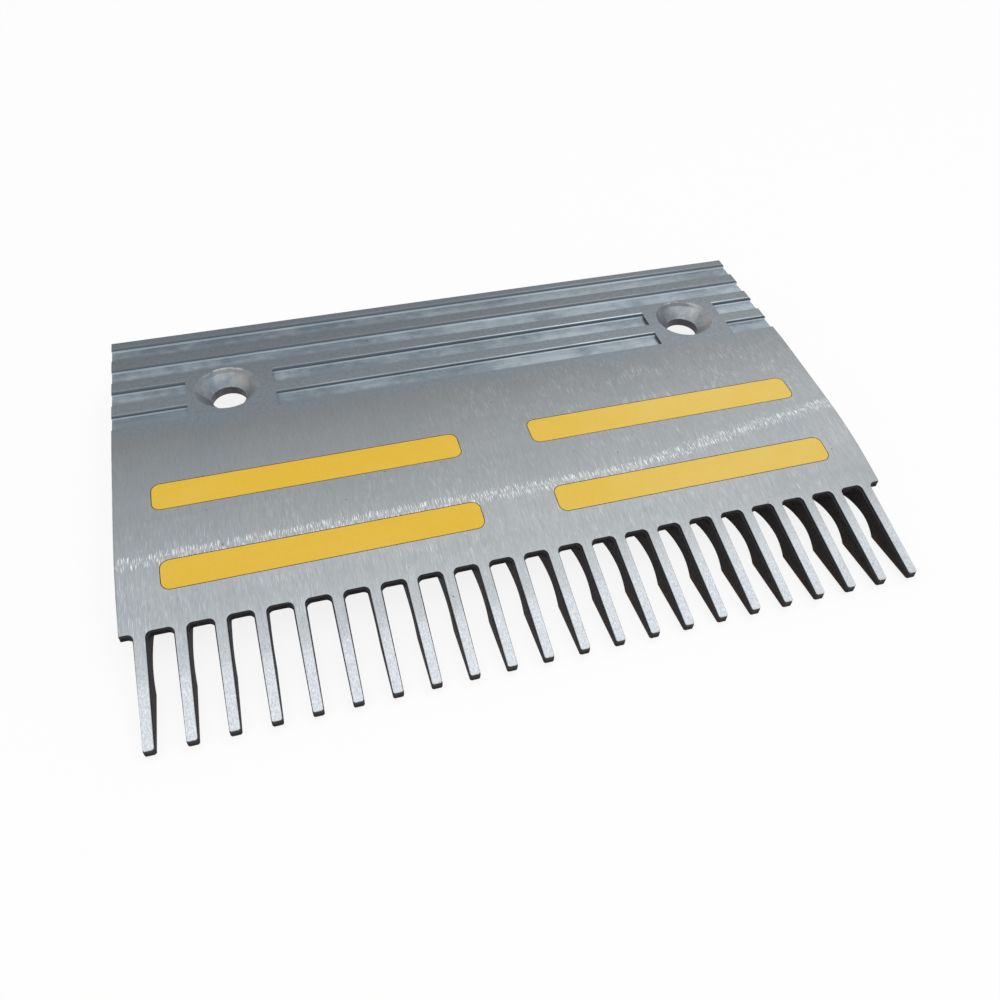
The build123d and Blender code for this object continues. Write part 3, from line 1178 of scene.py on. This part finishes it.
@dataclass
class MarkingStrips:
    """The four marking strips let into the top."""

    finish: StripFinish = StripFinish()

    def dress(self, nodes: dict[str, bpy.types.Object]) -> None:
        """Give every strip its finish.

        Args:
            nodes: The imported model's objects by name.
        """
        resin = self.finish.make()
        for row in Row:
            for side in Side:
                wear(nodes[f"strip_{row.value}_{side.value}"], resin)


@dataclass(frozen=True)
class Softbox:
    """A large even lamp, with its places and sizes in metres."""

    name: str
    location: Point
    aim: Point
    width: float
    depth: float
    brightness: float

    def hang(self) -> None:
        """Hang the lamp."""
        data = bpy.data.lights.new(self.name, "AREA")
        data.shape = "RECTANGLE"
        data.size = self.width
        data.size_y = self.depth
        data.energy = self.brightness * pi * self.width * self.depth
        lamp = bpy.data.objects.new(self.name, data)
        bpy.context.scene.collection.objects.link(lamp)
        lamp.location = self.location
        way = Vector(self.aim) - Vector(self.location)
        lamp.rotation_euler = way.to_track_quat("-Z", "Y").to_euler()
        log.info("Lamp %s hangs", self.name)


@dataclass(frozen=True)
class PhotoCamera:
    """The camera, where the photograph was taken from, with its places in metres."""

    location: Point = (-0.05391721, -0.16991041, 0.18240488)
    aim: Point = (-0.0036605, -0.0193284, 0.010)
    roll: float = 2.985
    lens: float = 31.9547
    sensor_width: float = 36.0
    clip_start: float = 0.01

    def place(self) -> None:
        """Put up the camera and make it the scene's."""
        data = bpy.data.cameras.new("photo_camera")
        data.lens = self.lens
        data.sensor_width = self.sensor_width
        data.clip_start = self.clip_start
        camera = bpy.data.objects.new("photo_camera", data)
        bpy.context.scene.collection.objects.link(camera)
        forward = (Vector(self.aim) - Vector(self.location)).normalized()
        level = forward.cross(Vector((0.0, 0.0, 1.0))).normalized()
        raised = level.cross(forward)
        turn = radians(self.roll)
        right = level * cos(turn) + raised * sin(turn)
        above = right.cross(forward)
        axes = Matrix((right, above, -forward)).transposed().to_4x4()
        camera.matrix_world = Matrix.Translation(self.location) @ axes
        bpy.context.scene.camera = camera
        log.info("Camera stands")


@dataclass(frozen=True)
class Studio:
    """Pale floor, soft light from above and a white surround."""

    floor_size: float = 8.0
    floor_colour: Colour = (0.92, 0.92, 0.92)
    floor_glow: float = 0.86
    surround_light: Ramp = Ramp(0.0, 1.0, 0.46, 1.0)
    lamps: tuple[Softbox, ...] = (
        Softbox("overhead", (0.10, -0.30, 1.20), (0.10, -0.30, 0.0), 2.0, 1.6, 1.3),
        Softbox("right_rear", (1.15, 1.0, 0.95), (0.0, 0.0, 0.0), 1.3, 1.0, 0.7),
    )

    def build(self) -> None:
        """Put up the floor, the lamps and the surround."""
        self.lay_floor()
        for lamp in self.lamps:
            lamp.hang()
        self.light_surround()
        bpy.context.scene.view_settings.view_transform = "Standard"

    def lay_floor(self) -> None:
        """Lay the floor, which shows white and keeps the object's shadow."""
        bpy.ops.object.select_all(action="DESELECT")
        bpy.ops.mesh.primitive_plane_add(size=self.floor_size, location=(0.0, 0.0, 0.0))
        floor = bpy.context.object
        floor.name = "floor"
        material = bpy.data.materials.new("pale_floor")
        bench = NodeBench(material)
        plain = bench.node("ShaderNodeBsdfDiffuse")
        bench.feed(plain.inputs["Color"], self.floor_colour)
        white = bench.node("ShaderNodeEmission")
        bench.feed(white.inputs["Color"], WHITE)
        bench.feed(white.inputs["Strength"], 1.0)
        mixed = bench.node("ShaderNodeMixShader")
        bench.feed(mixed.inputs[0], bench.times(self.seen(bench), self.floor_glow))
        bench.feed(mixed.inputs[1], plain.outputs[0])
        bench.feed(mixed.inputs[2], white.outputs[0])
        output = bench.node("ShaderNodeOutputMaterial")
        bench.feed(output.inputs["Surface"], mixed.outputs[0])
        floor.data.materials.append(material)
        log.info("Floor lies")

    def light_surround(self) -> None:
        """Make the world white to look at, and softer as a light."""
        world = bpy.data.worlds.new("surround")
        bench = NodeBench(world)
        background = bench.node("ShaderNodeBackground")
        bench.feed(background.inputs["Color"], WHITE)
        bench.feed(background.inputs["Strength"], bench.ramp(self.seen(bench), self.surround_light))
        output = bench.node("ShaderNodeOutputWorld")
        bench.feed(output.inputs["Surface"], background.outputs[0])
        bpy.context.scene.world = world
        log.info("Surround lights")

    @staticmethod
    def seen(bench: NodeBench) -> Socket:
        """Tell the rays that show the background from those that carry light.

        Args:
            bench: The nodes it is used in.

        Returns:
            1 for a ray that shows the background.
        """
        path = bench.node("ShaderNodeLightPath")
        rays = ("Is Camera Ray", "Is Glossy Ray", "Is Transmission Ray")
        return bench.most(*(path.outputs[ray] for ray in rays))


def main() -> None:
    """Dress the comb plate and set up the studio."""
    logging.basicConfig(level=logging.INFO, format="%(name)s: %(message)s")
    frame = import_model()
    bpy.ops.object.select_all(action="DESELECT")
    CombCasting().dress(frame["nodes"])
    MarkingStrips().dress(frame["nodes"])
    Studio().build()
    PhotoCamera().place()


if __name__ == "__main__":
    main()
